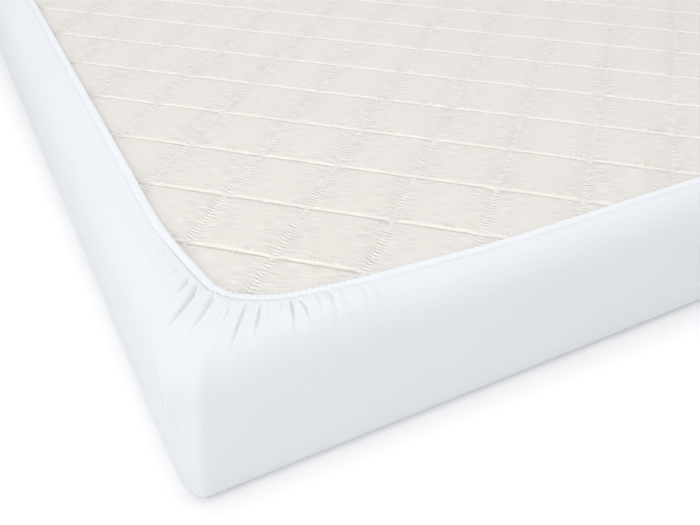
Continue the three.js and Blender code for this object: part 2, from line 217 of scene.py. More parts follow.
def bell(x, rises, full, falls, ends):
    """0 below `rises` and above `ends`, 1 from `full` to `falls`, and smooth between them."""
    return smoothstep(x, rises, full) * (1 - smoothstep(x, falls, ends))


def wave(x, length, start=0.0):
    """A sine with a length in metres."""
    return np.sin(x * 2 * math.pi / length + start)


def lerp(a, b, share):
    return a + (b - a) * share


def turned(x, y, angle):
    """Two measures, arrays or sockets, along axes that are turned by an angle from X and Y."""
    c, s = math.cos(angle), math.sin(angle)
    return x * c + y * s, y * c - x * s


def at_height(flat, height):
    """Flat points as points in space, all at one height."""
    return np.column_stack([flat, np.full(len(flat), height)])


def through_rows(table, place):
    """The columns of a table at places along its first one: between two rows each column is a cubic
    whose end slopes are those between the rows on either side."""
    at = table[:, 0]
    last = len(at) - 1
    rows = np.arange(len(at))
    before, after = np.maximum(rows - 1, 0), np.minimum(rows + 1, last)
    slope = (table[after] - table[before]) / (at[after] - at[before])[:, None]
    i = np.clip(np.searchsorted(at, place, side="right") - 1, 0, last - 1)
    span = (at[i + 1] - at[i])[:, None]
    t = (place - at[i])[:, None] / span
    t2, t3 = t * t, t ** 3
    return ((2 * t3 - 3 * t2 + 1) * table[i] + (t3 - 2 * t2 + t) * span * slope[i]
            + (3 * t2 - 2 * t3) * table[i + 1] + (t3 - t2) * span * slope[i + 1])


# ------------------------------------------------------------------ lines round the mattress

def mouth_at(place):
    """The binding's inner edge, in from the long and the short side, and the length along the side
    that belongs to it. Past the table's ends it runs parallel to the side."""
    first, last = MOUTH[0, 0], MOUTH[-1, 0]
    found = through_rows(MOUTH, np.clip(place, first, last))[:, 1:]
    under, over = np.minimum(place - first, 0), np.maximum(place - last, 0)
    found[:, 0] += over
    found[:, 1] -= under
    found[:, 2] += under + over
    return found


PLACES = 8001
PLACES_TRIED = np.linspace(-HALF_LENGTH, HALF_LENGTH, PLACES)
SIDES_TRIED = mouth_at(PLACES_TRIED)[:, 2]
SPREADS_TRIED = np.gradient(SIDES_TRIED, PLACES_TRIED)


def mouth_place_of(side):
    """The place along the mouth whose cloth comes from a given length along the side."""
    return np.interp(side, SIDES_TRIED, PLACES_TRIED)


def ring_at(side, inset, radius):
    """A rectangle with round corners, inset from the mattress's sides, and the way out of it, both
    measured from the corner with x and y growing inwards: an arc, and past its ends straight."""
    turn = (np.clip(side / HALF_ARC, -1, 1) + 1) * math.pi / 4
    out = np.stack([-np.cos(turn), -np.sin(turn)], -1)
    centre = inset + radius
    point = centre + radius * out
    past = np.maximum(np.abs(side) - HALF_ARC, 0)
    for axis, half, here in ((1, HALF_LENGTH, side < 0), (0, HALF_WIDTH, side > 0)):
        run = past * (half - centre) / (half - CORNER_RADIUS_TOP)
        point[:, axis] += np.where(here, run, 0)
    return point, out


MIDDLE_OF_LONG_SIDE = -(HALF_LENGTH - CORNER_RADIUS_TOP + HALF_ARC)
MIDDLE_OF_SHORT_SIDE = HALF_WIDTH - CORNER_RADIUS_TOP + HALF_ARC


class Stations:
    """Places right round the mouth, counter-clockwise from above, close together at the corners.
    `place` is the length along the mouth from the nearest corner, `moved` the same for its gathers,
    `side` the length along the side that it belongs to, `corner` counts the corners and `spread` is
    how much wider the cloth is at the side than at the mouth."""

    # Where stretches of the mouth about a corner meet, and the step in each.
    GATHERED = np.array([-0.200, -0.125, -0.058, -0.010, 0.010, 0.110, 0.150, 0.200])
    STEPS = np.array([0.0050, 0.0022, 0.00050, 0.00048, 0.00075, 0.0022, 0.0050])
    STEP_ON_SIDES = 0.026

    def __init__(self):
        places, corners = [], []
        ends = mouth_place_of(np.array([MIDDLE_OF_LONG_SIDE, MIDDLE_OF_SHORT_SIDE]))
        edges = np.concatenate([ends[:1], self.GATHERED, ends[1:]])
        for number, (x, y, _, _, coarser) in enumerate(CORNERS):
            steps = np.concatenate([
                [self.STEP_ON_SIDES], self.STEPS * coarser, [self.STEP_ON_SIDES],
            ])
            counts = np.round(np.diff(edges) / steps).astype(int)
            stretches = [np.linspace(low, high, count, endpoint=False)
                         for low, high, count in zip(edges, edges[1:], counts)]
            quarter = np.concatenate([*stretches, ends[1:]])
            if x != y:
                quarter = quarter[::-1]
            places.append(quarter[:-1])
            corners.append(np.full(len(quarter) - 1, number))
        self.place = np.concatenate(places)
        self.corner = np.concatenate(corners)
        self.mouth = mouth_at(self.place)
        self.side = self.mouth[:, 2]
        self.spread = np.interp(self.place, PLACES_TRIED, SPREADS_TRIED)
        self.signs = CORNERS[self.corner, :2]
        self.moved = self.place - CORNERS[self.corner, 2]
        self.fullness = CORNERS[self.corner, 3]

    def around(self):
        """The length round the foot of the rounded edge from the first station, always growing."""
        point, _ = ring_at(self.side, 0, CORNER_RADIUS_TOP)
        placed = self.to_frame(point[:, 0], point[:, 1])
        steps = np.linalg.norm(np.diff(placed, axis=0, append=placed[:1]), axis=1)
        return np.concatenate([[0], np.cumsum(steps)])

    def to_frame(self, x, y):
        """Corner measures turned into the part's own X and Y."""
        half = np.array([HALF_WIDTH, HALF_LENGTH])
        return self.signs * (half - np.stack([x, y], -1))


# ------------------------------------------------------------------ the cloth round the mattress

def cloth_ring(side, inset, up):
    """The cloth's outer face round the upright corner, seen from above: from the middle of the
    mattress's arc, the nearest of the two faces and of the slanting strip that cuts the corner
    between them. They are merged by a high power, so their meetings are crisp, and towards the foot
    a plain arc is blended in. `up` is 0 at the foot and 1 at the top."""
    off = EASE_AT_SIDES + CLOTH_SOLID
    radius = lerp(CORNER_RADIUS_FOOT, CORNER_RADIUS_TOP, up) + off
    long_leg, short_leg = lerp(np.array(CORNER_LEGS_FOOT), np.array(CORNER_LEGS_TOP), up)
    turn = (np.clip(side / HALF_ARC, -1, 1) + 1) * math.pi / 4
    slant = np.array([1 / short_leg, 1 / long_leg])
    steepness = np.linalg.norm(slant)
    strip = (radius * slant.sum() - 1) / steepness - inset
    slant /= steepness
    closeness = np.stack([
        np.cos(turn) / (radius - inset), np.sin(turn) / (radius - inset),
        (np.cos(turn) * slant[0] + np.sin(turn) * slant[1]) / strip,
    ])
    crisp = (closeness ** CORNER_CRISPNESS).sum(axis=0) ** (-1 / CORNER_CRISPNESS)
    reach = lerp(radius - inset, crisp, lerp(CORNER_CRISP_AT_FOOT, 1, up))
    out = np.stack([-np.cos(turn), -np.sin(turn)], -1)
    point = radius - off + reach[:, None] * out
    past = np.maximum(np.abs(side) - HALF_ARC, 0)
    for axis, half, here in ((1, HALF_LENGTH, side < 0), (0, HALF_WIDTH, side > 0)):
        run = past * (half + off - radius) / (half - CORNER_RADIUS_TOP)
        point[:, axis] += np.where(here, run, 0)
    return point


def way_out(stations, foot):
    """The way from the mouth to points on the upright side, seen from above, and its length."""
    away = foot - stations.mouth[:, :2]
    reach = np.linalg.norm(away, axis=1)
    return away / reach[:, None], reach


def cloth_edge(stations, rise, level, inset, lift):
    """The cloth's outer face over the mattress's rounded upper edge, a quarter of an ellipse, and
    over the level strip up to `inset` short of the mouth, with the gathers' lift off it. It starts
    from the cloth's crisp corner, which so fades out towards the mouth."""
    skin = lerp(EASE_AT_SIDES, EASE_AT_MOUTH, level) + CLOTH_SOLID
    foot = cloth_ring(stations.side, 0, 1)
    out, reach = way_out(stations, foot)
    at_corner = 1 - smoothstep(np.abs(stations.place), 0, EDGE_CORNER_SPAN)
    round_ = lerp(EDGE_ALONG_SIDES, EDGE_AT_CORNERS, at_corner) + EASE_AT_SIDES + CLOTH_SOLID
    inwards = round_ * (1 - math.cos(rise)) + (reach - inset - round_) * level
    flat = foot + out * (math.cos(rise) * lift - inwards)[:, None]
    height = TOP - EDGE_DROP * (1 - math.sin(rise)) + math.sin(rise) * (skin + lift)
    return np.column_stack([stations.to_frame(flat[:, 0], flat[:, 1]), height])


def cloth_foot(stations, fall):
    """The cloth's outer face round the rounded foot: a quarter of an ellipse from level to upright,
    drawn in a little further beside each corner by a bell curve."""
    sideways = EASE_AT_SIDES + CLOTH_SOLID
    drawn_in = FOOT_DRAWN_IN * np.exp(-((stations.side - FOOT_DRAWN_AT) / FOOT_DRAWN_SPAN) ** 2)
    inset = (FOOT_ROUND + sideways) * (1 - math.cos(fall)) + drawn_in
    flat = cloth_ring(stations.side, inset, 0)
    height = BOTTOM + FOOT_ROUND - (FOOT_ROUND + EASE_UNDER_MATTRESS + CLOTH_SOLID) * math.sin(fall)
    return at_height(stations.to_frame(flat[:, 0], flat[:, 1]), height)


# ------------------------------------------------------------------ gathers

def gather_lift(stations, share, puff):
    """How far the puffed cloth stands up: a bell over the corner, out of which each crease takes a
    narrow valley with wider, shallower shoulders. Near the binding the creases lean."""
    moved = stations.moved
    creased = np.zeros_like(moved)
    spread = lerp(1, np.clip(stations.spread, 1, MOST_SPREAD), share)
    for settled, lean, starts, ends, half_width, depth in CREASES:
        at = settled + lean * math.exp(-share / CREASE_SETTLES)
        off = np.abs(moved - at) * spread / half_width
        valley = VALLEY_SHARE * np.exp(-(VALLEY_SHARPNESS * off) ** 2)
        shoulders = SHOULDER_SHARE * np.maximum(0, 1 - off / SHOULDER_REACH) ** SHOULDER_POWER
        length = bell(share, starts - CREASE_RUN_IN, starts + CREASE_RUN_ON,
                      lerp(starts, ends, CREASE_THINS_FROM), ends)
        creased = np.maximum(creased, depth * (valley + shoulders) * length)
    return GATHER_HEIGHT * stations.fullness * puff * bell(moved, *GATHER_ZONE) * (1 - creased)


def fine_puckers(stations, share):
    """Small tucks where the cloth is sewn to the binding: narrow valleys at an uneven pitch along
    the mouth, of uneven depth, and low waves of two lengths that run on over the edge."""
    moved = stations.moved
    turn = moved * math.pi / TUCK_PITCH + TUCK_DRIFT * wave(moved, TUCK_DRIFT_LENGTH)
    depth = TUCK_MEAN_SHARE
    for part, length in TUCK_VARIES:
        depth = depth + part * wave(moved, length)
    tucks = depth * np.exp(-(np.sin(turn) / TUCK_SHARPNESS) ** 2)
    waves = sum(wave(moved, length, start) for length, start in WAVES)
    return bell(moved, *TUCK_ZONE) * (
        -TUCK_DEPTH * tucks * (1 - smoothstep(share, *TUCK_FADES))
        + WAVE_HEIGHT * waves * (1 - smoothstep(share, *WAVE_FADES)))


def corner_fold(stations, share):
    """A soft ridge along the fold beside each corner: its height falls off with the distance, which
    is taken along the way over the edge."""
    side = stations.side
    first, last = FOLD[0, 0], FOLD[-1, 0]
    path = np.interp(side, FOLD[:, 0], FOLD[:, 1])
    off = np.abs(share - path) * LENGTH_OVER_EDGE
    along = bell(side, first - FOLD_RUN_IN, first + FOLD_RUN_ON, last, last + FOLD_RUN_OUT)
    return FOLD_HEIGHT * stations.fullness * along * np.exp(-off / FOLD_HALF_WIDTH)


# ------------------------------------------------------------------ meshes

def grid_faces(rows, columns):
    """Quads of a grid whose columns close on themselves, as an array of four indices each."""
    row, column = np.meshgrid(np.arange(rows - 1), np.arange(columns), indexing="ij")
    here = row * columns + column
    beside = row * columns + (column + 1) % columns
    return np.stack([here, beside, beside + columns, here + columns], -1).reshape(-1, 4)


def fan_faces(columns, middle):
    """Triangles from the first closed row of points, counter-clockwise, to a middle point."""
    here = np.arange(columns)
    beside = (here + 1) % columns
    return np.stack([here, beside, np.full(columns, middle)], -1)


def mesh_of(name, points, quads, triangles=None, uv=None, flat=False):
    """A smooth mesh object at the origin from arrays. `uv` has two numbers for each corner."""
    if triangles is None:
        triangles = np.zeros((0, 3), int)
    mesh = bpy.data.meshes.new(name)
    mesh.vertices.add(len(points))
    mesh.vertices.foreach_set("co", np.asarray(points, np.float32).ravel())
    corners = np.concatenate([quads.ravel(), triangles.ravel()]).astype(np.int32)
    starts = np.concatenate([
        4 * np.arange(len(quads)),
        4 * len(quads) + 3 * np.arange(len(triangles)),
    ])
    mesh.loops.add(len(corners))
    mesh.loops.foreach_set("vertex_index", corners)
    mesh.polygons.add(len(starts))
    mesh.polygons.foreach_set("loop_start", starts.astype(np.int32))
    if uv is not None:
        layer = mesh.uv_layers.new(name="UVMap")
        layer.data.foreach_set("uv", np.asarray(uv, np.float32).ravel())
    mesh.update(calc_edges=True)
    mesh.validate()
    if not flat:
        mesh.shade_smooth()
    piece = bpy.data.objects.new(name, mesh)
    bpy.context.scene.collection.objects.link(piece)
    return piece


def ring_uv(rows, columns, around, along):
    """Corner coordinates of a grid of closed rows: `around` has one more value than there are
    columns, so the last face doesn't run backwards, and `along` has one for each point."""
    row, column = np.meshgrid(np.arange(rows - 1), np.arange(columns), indexing="ij")
    beside = (column + 1) % columns
    u = np.stack([around[column], around[column + 1], around[column + 1], around[column]], -1)
    v = np.stack([
        along[row, column], along[row, beside], along[row + 1, beside], along[row + 1, column],
    ], -1)
    return np.stack([u, v], -1).reshape(-1, 2)


def finish_piece(piece, material, slot, *nodes):
    """Gives a piece its material, hangs it on the root body and hides the model's parts that it
    replaces.
    """
    piece.data.materials.append(material)
    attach(piece, "root")
    if nodes:
        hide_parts(*nodes)


# ------------------------------------------------------------------ fitted sheet

SIDE_ROWS = 9
FOOT_FALLS = np.radians(np.linspace(90, 0, 7))
# Steps through EDGE_ROWS, closer together on the level strip.
EDGE_STEPS = np.concatenate([np.linspace(0, 4, 17), np.linspace(4, 6, 16)[1:]])
PANEL_SHARES = np.array([0.02, 0.15, 0.5])


# Slight waves of the sides: how high each is, its turns in radians for each metre round and up, and
# its start.
SLACK = ((0.0009, 11.3, 14, 0), (0.0007, 23.9, -31, 1.7), (0.0004, 5.1, 0, 0.6))


def slack(around, height):
    """The waves of the cloth between the corners, from sines of the way round and up."""
    return sum(high * np.sin(around * round_ + height * up + start)
               for high, round_, up, start in SLACK)


def make_sheet():
    """The sheet's outer face: rows from the panel's rim round the foot, up the side, over the
    rounded edge and in to the binding, with the gathers' lift added, and a thickness inwards."""
    stations = Stations()
    columns = len(stations.place)
    around = stations.around()
    foot = [cloth_foot(stations, fall) for fall in FOOT_FALLS]

    edge = []
    steps = np.arange(len(EDGE_ROWS))
    for step in EDGE_STEPS:
        rise, level, share, puff = (np.interp(step, steps, column) for column in EDGE_ROWS.T)
        lift = gather_lift(stations, share, puff) + fine_puckers(stations, share)
        lift += corner_fold(stations, share)
        edge.append(cloth_edge(stations, math.radians(rise), level, CLOTH_END, lift))

    side = []
    _, out = ring_at(stations.side, 0, CORNER_RADIUS_TOP)
    out = -stations.signs * out
    for share in np.linspace(0, 1, SIDE_ROWS + 2)[1:-1]:
        row = lerp(foot[-1], edge[0], share)
        bulge = slack(around[:-1], row[:, 2]) * math.sin(math.pi * share)
        row[:, :2] -= out * bulge[:, None]
        side.append(row)

    rim = foot[0]
    middle = np.array([0, 0, rim[0, 2]])
    panel = [lerp(rim, middle, share) for share in PANEL_SHARES[::-1]]
    rows = [*panel, *foot, *side, *edge]
    points = np.concatenate([*rows, middle[None]])
    steps_up = [np.linalg.norm(b - a, axis=1) for a, b in zip(rows, rows[1:])]
    along = np.concatenate([np.zeros((1, columns)), np.cumsum(steps_up, axis=0)])
    quads = grid_faces(len(rows), columns)
    uv = ring_uv(len(rows), columns, around, along)
    fan = fan_faces(columns, len(points) - 1)[:, ::-1]
    fan_uv = np.stack([points[fan][..., 0], points[fan][..., 1]], -1).reshape(-1, 2)
    sheet = mesh_of("jersey_sheet", points, quads, fan, np.concatenate([uv, fan_uv]))
    solid = sheet.modifiers.new("thickness", "SOLIDIFY")
    solid.thickness = CLOTH_THICKNESS
    solid.offset = -1
    return sheet


# ------------------------------------------------------------------ elastic binding

BINDING_SECTION = 14

# The scallops' pitch and depth, where along the mouth they show, and how much thinner the bead is
# between them.
SCALLOP_PITCH = 0.007
SCALLOP_DEPTH = 0.0016
SCALLOP_ZONE = (-0.06, 0.0, 0.13, 0.2)
SCALLOP_THINNING = 0.28


def scallops(stations):
    """How far the binding's inner edge draws back between its lobes, from 0 to 1, where the gathers
    pull it together: one less the size of a sine."""
    moved = stations.moved
    lobes = np.abs(np.sin(moved * math.pi / SCALLOP_PITCH))
    return bell(moved, *SCALLOP_ZONE) * (1 - lobes)


def binding_line(stations, angle):
    """A line right round the bead, whose section is an ellipse made squarer by a power, drawn in
    and thinned at the scallops' notches."""
    across, up = (np.sign(w) * np.abs(w) ** BINDING_SQUARENESS
                  for w in (math.cos(angle), math.sin(angle)))
    notch = scallops(stations)
    inner = (1 - across) / 2
    inset = BINDING_WIDTH / 2 * (1 + across) + notch * SCALLOP_DEPTH * inner
    half = BINDING_HEIGHT / 2
    height = BINDING_ABOVE_TICKING + half + up * half * (1 - SCALLOP_THINNING * notch)
    foot, _ = ring_at(stations.side, 0, CORNER_RADIUS_TOP)
    out, _ = way_out(stations, foot)
    flat = stations.mouth[:, :2] + out * inset[:, None]
    return np.column_stack([stations.to_frame(flat[:, 0], flat[:, 1]), TOP + height])


def make_binding():
    """The bead carried right round the mouth, its rows closed on each other."""
    stations = Stations()
    columns = len(stations.place)
    angles = np.linspace(0, 2 * math.pi, BINDING_SECTION + 1)[::-1]
    rows = [binding_line(stations, angle) for angle in angles]
    points = np.concatenate(rows[:-1])
    quads = grid_faces(len(rows), columns) % len(points)
    girth = np.pi * (BINDING_WIDTH + BINDING_HEIGHT) / 2
    along = np.repeat(np.linspace(0, girth, len(rows))[:, None], columns, axis=1)
    uv = ring_uv(len(rows), columns, stations.around(), along)
    return mesh_of("edge_binding", points, quads, uv=uv)


STITCH_PITCH = 0.0032
STITCH_HALF_SIZES = np.array([0.0012, 0.00045, 0.0003])
STITCH_ANGLE = math.radians(52)
STITCH_FACES = np.array([
    (0, 1, 2), (1, 3, 2), (3, 4, 2), (4, 0, 2), (1, 0, 5), (3, 1, 5), (4, 3, 5), (0, 4, 5),
])
STITCH_POINTS = 6


def make_stitches():
    """A row of thread dashes along the binding's outer half: each is a long eight-sided bead, laid
    along the row."""
    stations = Stations()
    line = binding_line(stations, STITCH_ANGLE)
    closed = np.concatenate([line, line[:1]])
    length = np.concatenate([[0], np.cumsum(np.linalg.norm(np.diff(closed, axis=0), axis=1))])
    count = int(length[-1] / STITCH_PITCH)
    at = np.arange(count) * length[-1] / count
    centre = np.stack([np.interp(at, length, column) for column in closed.T], -1)
    ahead = np.roll(centre, -1, axis=0) - np.roll(centre, 1, axis=0)
    ahead /= np.linalg.norm(ahead, axis=1)[:, None]
    outward = np.cross(ahead, [0, 0, 1])
    up = outward * math.cos(STITCH_ANGLE) + np.array([0, 0, 1]) * math.sin(STITCH_ANGLE)
    beside = np.cross(up, ahead)
    axes = np.stack([ahead, beside, up], 1) * STITCH_HALF_SIZES[:, None]
    tips = np.concatenate([axes, -axes], axis=1)
    points = (centre[:, None] + tips).reshape(-1, 3)
    faces = (STITCH_POINTS * np.arange(count)[:, None, None] + STITCH_FACES).reshape(-1, 3)
    return mesh_of("binding_stitches", points, np.zeros((0, 4), int), faces)


# ------------------------------------------------------------------ quilted mattress

# Steps of the grid across a diamond, each way, and how far they draw together at its lines. The lid
# is the ticking's face, and the skirt goes down from it in rows, named by their slopes.
CELL_STEPS = (22, 14)
CELL_CLUSTERING = (0.88, 0.55)
LID_INSET = EDGE_ALONG_SIDES
LID_RADIUS = 0.118
LID_FADE = (0.002, 0.012)
SKIRT_RISES = np.radians([75, 50, 25, 0])
SKIRT_FALLS = np.radians([0, 45, 90])
SMALLEST_LENGTH = 1e-9

# The ticking's relief: how deep a cushion is at its edge, a crisp groove and a soft trough; how
# quickly a groove falls off beyond and before its line; half the width of a trough and of the gap
# that it leaves in a groove; and how far the groove is filled there.
CUSHION_DEPTH, CRISP_DEPTH, SOFT_DEPTH = 0.0017, 0.0030, 0.0010
CRISP_BEYOND, CRISP_BEFORE = 0.0030, 0.0018
SOFT_HALF_WIDTH, GAP_HALF_WIDTH = 0.008, 0.005
GAP_FILLED = 0.85


def diamond_place(x, y):
    """Where a place, as arrays or sockets measured from the net's crossing, is in the net of
    diamonds: two numbers that are whole on its stitched lines."""
    along_x, along_y = turned(x, y, DIAMOND_TURN)
    along_x, along_y = along_x / (2 * DIAMOND_HALF_X), along_y / (2 * DIAMOND_HALF_Y)
    return along_x + along_y, along_x - along_y


def line_offset(place):
    """How far a place in the net is past the nearest stitched line of its family, in metres."""
    return (place - np.round(place)) * DIAMOND_WIDTH


def quilting(points):
    """Depth of the ticking under its crowns. Each diamond is a cushion; the lines of one family are
    narrow grooves, steep on one side and easier on the other, which fill up where they cross the
    other family's, and those are soft troughs."""
    u, v = diamond_place(*(points - DIAMOND_CROSSING).T)
    cushion = np.sqrt(np.abs(np.sin(math.pi * u) * np.sin(math.pi * v)))
    across, beside = line_offset(u), line_offset(v)
    gap = np.exp(-(beside / GAP_HALF_WIDTH) ** 2)
    width = np.where(across > 0, CRISP_BEYOND, CRISP_BEFORE)
    crisp = np.exp(-np.abs(across) / width) * (1 - GAP_FILLED * gap)
    soft = np.exp(-(beside / SOFT_HALF_WIDTH) ** 2)
    return CUSHION_DEPTH * (1 - cushion) + CRISP_DEPTH * crisp + SOFT_DEPTH * soft


def round_rectangle(points, inset, radius):
    """For points off a rectangle with round corners: the share along each straight and the way out,
    which together name a point on any such rectangle, and the distance that way."""
    half = np.array([HALF_WIDTH, HALF_LENGTH]) - inset
    inner = half - radius
    nearest = np.clip(points, -inner, inner)
    away = points - nearest
    distance = np.linalg.norm(away, axis=1)
    return nearest / inner, away / np.maximum(distance, SMALLEST_LENGTH)[:, None], distance


def on_rectangle(shares, out, inset, radius):
    """The point of a round-cornered rectangle that those shares and that way out name."""
    half = np.array([HALF_WIDTH, HALF_LENGTH]) - inset
    return shares * (half - radius) + out * radius


def net_lines(values, count, clustering):
    """Places across the net that reach past all the values, `count` in each diamond. A sine draws
    them together at the stitched lines."""
    share = np.arange(count) / count
    cell = share - clustering * np.sin(2 * math.pi * share) / (2 * math.pi)
    whole = np.arange(math.floor(values.min()), math.ceil(values.max()))
    return (whole[:, None] + cell).ravel()


def make_mattress():
    """The ticking is a grid along the diamonds' sides, closer near the stitched lines. Its points
    past the lid's outline are drawn in to it, and the rim goes down over the rounded edge, the
    upright side and the foot, and is closed underneath."""
    corners = CORNERS[:, :2] * (HALF_WIDTH, HALF_LENGTH) - DIAMOND_CROSSING
    lines = map(net_lines, diamond_place(*corners.T), CELL_STEPS, CELL_CLUSTERING)
    u, v = np.meshgrid(*lines, indexing="ij")
    along_x, along_y = (u + v) * DIAMOND_HALF_X, (u - v) * DIAMOND_HALF_Y
    flat = np.stack(turned(along_x, along_y, -DIAMOND_TURN), -1).reshape(-1, 2)
    flat += DIAMOND_CROSSING

    shares, out, distance = round_rectangle(flat, LID_INSET, LID_RADIUS)
    outside = distance > LID_RADIUS
    flat[outside] = on_rectangle(shares, out, LID_INSET, LID_RADIUS)[outside]
    within = np.maximum(LID_RADIUS - distance, 0)
    fade = smoothstep(within, *LID_FADE)
    height = TOP - CROWN_BELOW_EDGE * fade - quilting(flat) * fade

    rows, columns = u.shape
    row, column = np.meshgrid(np.arange(rows - 1), np.arange(columns - 1), indexing="ij")
    here = (row * columns + column).ravel()
    quads = np.stack([here, here + 1, here + columns + 1, here + columns], -1)[:, ::-1]
    quads = quads[~outside[quads].all(axis=1)]
    used = np.unique(quads)
    rim = used[outside[used]]
    order = np.argsort(np.arctan2(flat[rim, 1] / HALF_LENGTH, flat[rim, 0] / HALF_WIDTH))
    rim = rim[order]

    rim_shares, rim_out, _ = round_rectangle(flat[rim], LID_INSET, LID_RADIUS)
    lid = flat[rim]
    side = on_rectangle(rim_shares, rim_out, 0, CORNER_RADIUS_TOP)
    skirt = []
    for rise in SKIRT_RISES:
        ring = lerp(side, lid, 1 - math.cos(rise))
        skirt.append(at_height(ring, TOP - EDGE_DROP * (1 - math.sin(rise))))
    for fall in SKIRT_FALLS:
        inset = FOOT_ROUND * (1 - math.cos(fall))
        ring = on_rectangle(rim_shares, rim_out, inset, CORNER_RADIUS_FOOT - inset)
        skirt.append(at_height(ring, BOTTOM + FOOT_ROUND * (1 - math.sin(fall))))

    number = np.full(len(flat), -1)
    number[used] = np.arange(len(used))
    top = np.column_stack([flat, height])[used]
    count = len(rim)
    ring_numbers = np.concatenate([
        number[rim][None], len(used) + np.arange(len(skirt) * count).reshape(-1, count),
    ])
    beside = np.roll(ring_numbers, -1, axis=1)
    walls = np.stack([
        ring_numbers[1:], beside[1:], beside[:-1], ring_numbers[:-1],
    ], -1).reshape(-1, 4)
    middle = len(used) + len(skirt) * count
    points = np.concatenate([top, *skirt, [(0, 0, BOTTOM)]])
    under = np.stack([beside[-1], ring_numbers[-1], np.full(count, middle)], -1)
    return mesh_of("quilted_mattress", points, np.concatenate([number[quads], walls]), under)


# ------------------------------------------------------------------ materials

CLOTH_SPECULAR = 0.25
SHEEN_ROUGHNESS = 0.5
NOISE_ROUGHNESS = 0.5
NOISE_MIDDLE = 0.5


class Value:
    """A number socket of a material. Sums and products of values add Math nodes."""

    def __init__(self, graph, socket):
        self.graph = graph
        self.socket = socket

    def __add__(self, other):
        return self.graph.math("ADD", self, other)

    __radd__ = __add__

    def __sub__(self, other):
        return self.graph.math("SUBTRACT", self, other)

    def __rsub__(self, other):
        return self.graph.math("SUBTRACT", other, self)

    def __mul__(self, other):
        return self.graph.math("MULTIPLY", self, other)

    __rmul__ = __mul__

    def __truediv__(self, other):
        return self.graph.math("DIVIDE", self, other)


class Graph:
    """The nodes of one material."""

    def __init__(self, name, roughness, sheen, specular=CLOTH_SPECULAR):
        self.material = bpy.data.materials.new(name)
        self.material.use_nodes = True
        self.tree = self.material.node_tree
        self.shader = self.tree.nodes["Principled BSDF"]
        self.set(self.shader, {
            "Roughness": roughness, "Sheen Weight": sheen, "Sheen Roughness": SHEEN_ROUGHNESS,
            "Specular IOR Level": specular,
        })

    def set(self, node, sockets):
        """Gives sockets, by name or number, a value or a link."""
        for key, value in sockets.items():
            value = value.socket if isinstance(value, Value) else value
            if isinstance(value, bpy.types.NodeSocket):
                self.tree.links.new(value, node.inputs[key])
            else:
                node.inputs[key].default_value = value

    def add(self, kind, settings, sockets):
        """A node of a type, with its settings made first and then its sockets."""
        node = self.tree.nodes.new("ShaderNode" + kind)
        for key, value in settings.items():
            setattr(node, key, value)
        self.set(node, sockets)
        return node

    def math(self, operation, *operands):
        node = self.add("Math", {"operation": operation}, dict(enumerate(operands)))
        return Value(self, node.outputs["Value"])

    def sine(self, value):
        return self.math("SINE", value)

    def ribs(self, along, pitch, start=0.0):
        """A sine with a pitch in metres."""
        return self.sine(along * (2 * math.pi / pitch) + start)

    def falloff(self, distance, width):
        """exp(-(distance / width)^2)"""
        share = distance / width
        return self.math("EXPONENT", share * share * -1)

    def own_uv(self):
        return self.add("UVMap", {"uv_map": "UVMap"}, {}).outputs["UV"]

    def place(self):
        return self.add("TexCoord", {}, {}).outputs["Object"]

    def parts(self, vector):
        node = self.add("SeparateXYZ", {}, {"Vector": vector})
        return [Value(self, node.outputs[axis]) for axis in "XYZ"]

    def vector(self, x, y, z=0.0):
        return self.add("CombineXYZ", {}, {"X": x, "Y": y, "Z": z}).outputs["Vector"]

    def noise(self, vector, scale, detail=2.0):
        """Smooth noise, about -0.5 to 0.5."""
        node = self.add("TexNoise", {"noise_dimensions": "3D"}, {
            "Vector": vector, "Scale": scale, "Detail": detail, "Roughness": NOISE_ROUGHNESS,
        })
        return Value(self, node.outputs["Fac"]) - NOISE_MIDDLE

    def tint(self, dark, light, factor):
        """A colour between two, by a value from 0 to 1."""
        node = self.add("Mix", {"data_type": "RGBA"}, {
            "Factor": factor, "A": (*dark, 1.0), "B": (*light, 1.0),
        })
        return node.outputs["Result"]

    def dress(self, colour, height):
        """Links the base colour and a relief given in metres."""
        bump = self.add("Bump", {}, {"Height": height, "Distance": 1.0, "Strength": 1.0})
        self.set(self.shader, {"Base Color": colour, "Normal": bump.outputs["Normal"]})
        return self.material


# The knit's pitches across and along, how far its courses follow its wales, and its relief. Noise
# scales are in features for each metre, and tints run from the darker to the lighter colour.
WALE_PITCH, COURSE_PITCH, COURSE_BEND = 0.0012, 0.0016, 0.6
KNIT_RELIEF = 0.000012
UNEVEN_SCALE, UNEVEN_RELIEF = 26.0, 0.0006
JERSEY_MOTTLE_SCALE = 7.0
JERSEY_TINTS = (0.713, 0.734, 0.772), (0.732, 0.753, 0.789)


def jersey_material():
    """Smooth bluish-white knit: fine wales and courses, and a faint unevenness."""
    graph = Graph("jersey", roughness=0.92, sheen=0.15)
    across, up, _ = graph.parts(graph.own_uv())
    place = graph.place()
    wales = graph.ribs(across, WALE_PITCH)
    courses = graph.ribs(up, COURSE_PITCH, wales * COURSE_BEND)
    uneven = graph.noise(place, UNEVEN_SCALE)
    mottle = graph.noise(place, JERSEY_MOTTLE_SCALE, 3.0)
    height = (wales + courses) * KNIT_RELIEF + uneven * UNEVEN_RELIEF
    return graph.dress(graph.tint(*JERSEY_TINTS, mottle + NOISE_MIDDLE), height)


RIB_PITCH, RIB_RELIEF = 0.0014, 0.00003
LENGTHWISE_PITCH, LENGTHWISE_RELIEF = 0.0011, 0.00001
ELASTIC_MOTTLE_SCALE, ELASTIC_MOTTLE_RELIEF = 40.0, 0.0003
ELASTIC_TINTS = (0.737, 0.758, 0.796), (0.757, 0.778, 0.814)


